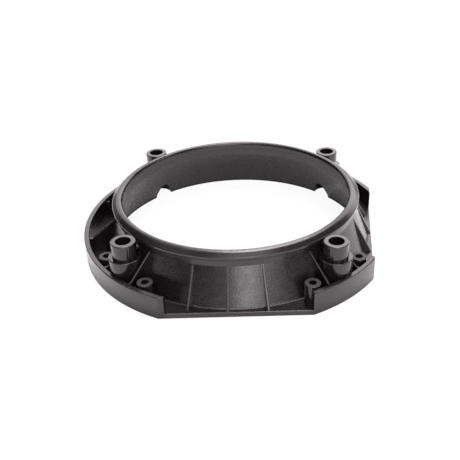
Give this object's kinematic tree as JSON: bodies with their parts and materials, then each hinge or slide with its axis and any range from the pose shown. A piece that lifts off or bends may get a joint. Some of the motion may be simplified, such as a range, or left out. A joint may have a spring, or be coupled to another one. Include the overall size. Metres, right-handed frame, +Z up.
{
  "type": "toilet flange",
  "caption": "Round moulded mounting collar on a flat base plate, with a rolled bead rim, a skirt wall, stepped bolt bosses, screw bosses and thin bracing ribs.",
  "frame": {"origin": "on the collar's axis at the underside of the base plate", "axes": "+Z up through the bore towards the bead, -Y towards the front where the skirt is open, +X towards the side where the plate is cut flat"},
  "size_m": [0.1486, 0.143, 0.0276],
  "materials": {
    "collar": "black moulded plastic, satin, fine spark-eroded grain",
    "bead": "black moulded plastic, satin bead with fine grain",
    "base": "black moulded plastic, satin",
    "boss": "black moulded plastic, glossier than the collar",
    "rib": "black moulded plastic, satin"
  },
  "bodies": {
    "root": {"base_plate": "base", "boss_cup_front_left": "boss", "boss_cup_front_right": "boss", "boss_cup_rear_left": "boss", "boss_cup_rear_right": "boss", "boss_tube_front_left": "boss", "boss_tube_front_right": "boss", "boss_tube_rear_left": "boss", "boss_tube_rear_right": "boss", "collar_cone": "collar", "collar_neck": "collar", "gusset_1": "rib", "gusset_2": "rib", "gusset_3": "rib", "gusset_4": "rib", "gusset_5": "rib", "gusset_6": "rib", "gusset_7": "rib", "gusset_8": "rib", "gusset_left_1": "rib", "gusset_left_2": "rib", "rib_front_1": "rib", "rib_front_2": "rib", "rib_front_3": "rib", "rib_rear_1": "rib", "rib_rear_2": "rib", "rib_rear_3": "rib", "rib_right_1": "rib", "rib_right_2": "rib", "rib_right_3": "rib", "rim_bead": "bead", "screw_boss_1": "boss", "screw_boss_2": "boss", "screw_boss_3": "boss", "screw_boss_4": "boss", "screw_boss_5": "boss", "screw_boss_6": "boss", "screw_boss_7": "boss", "screw_boss_8": "boss", "skirt_front_right": "base", "skirt_left": "base", "skirt_rear_right": "base"}
  },
  "joints": []
}
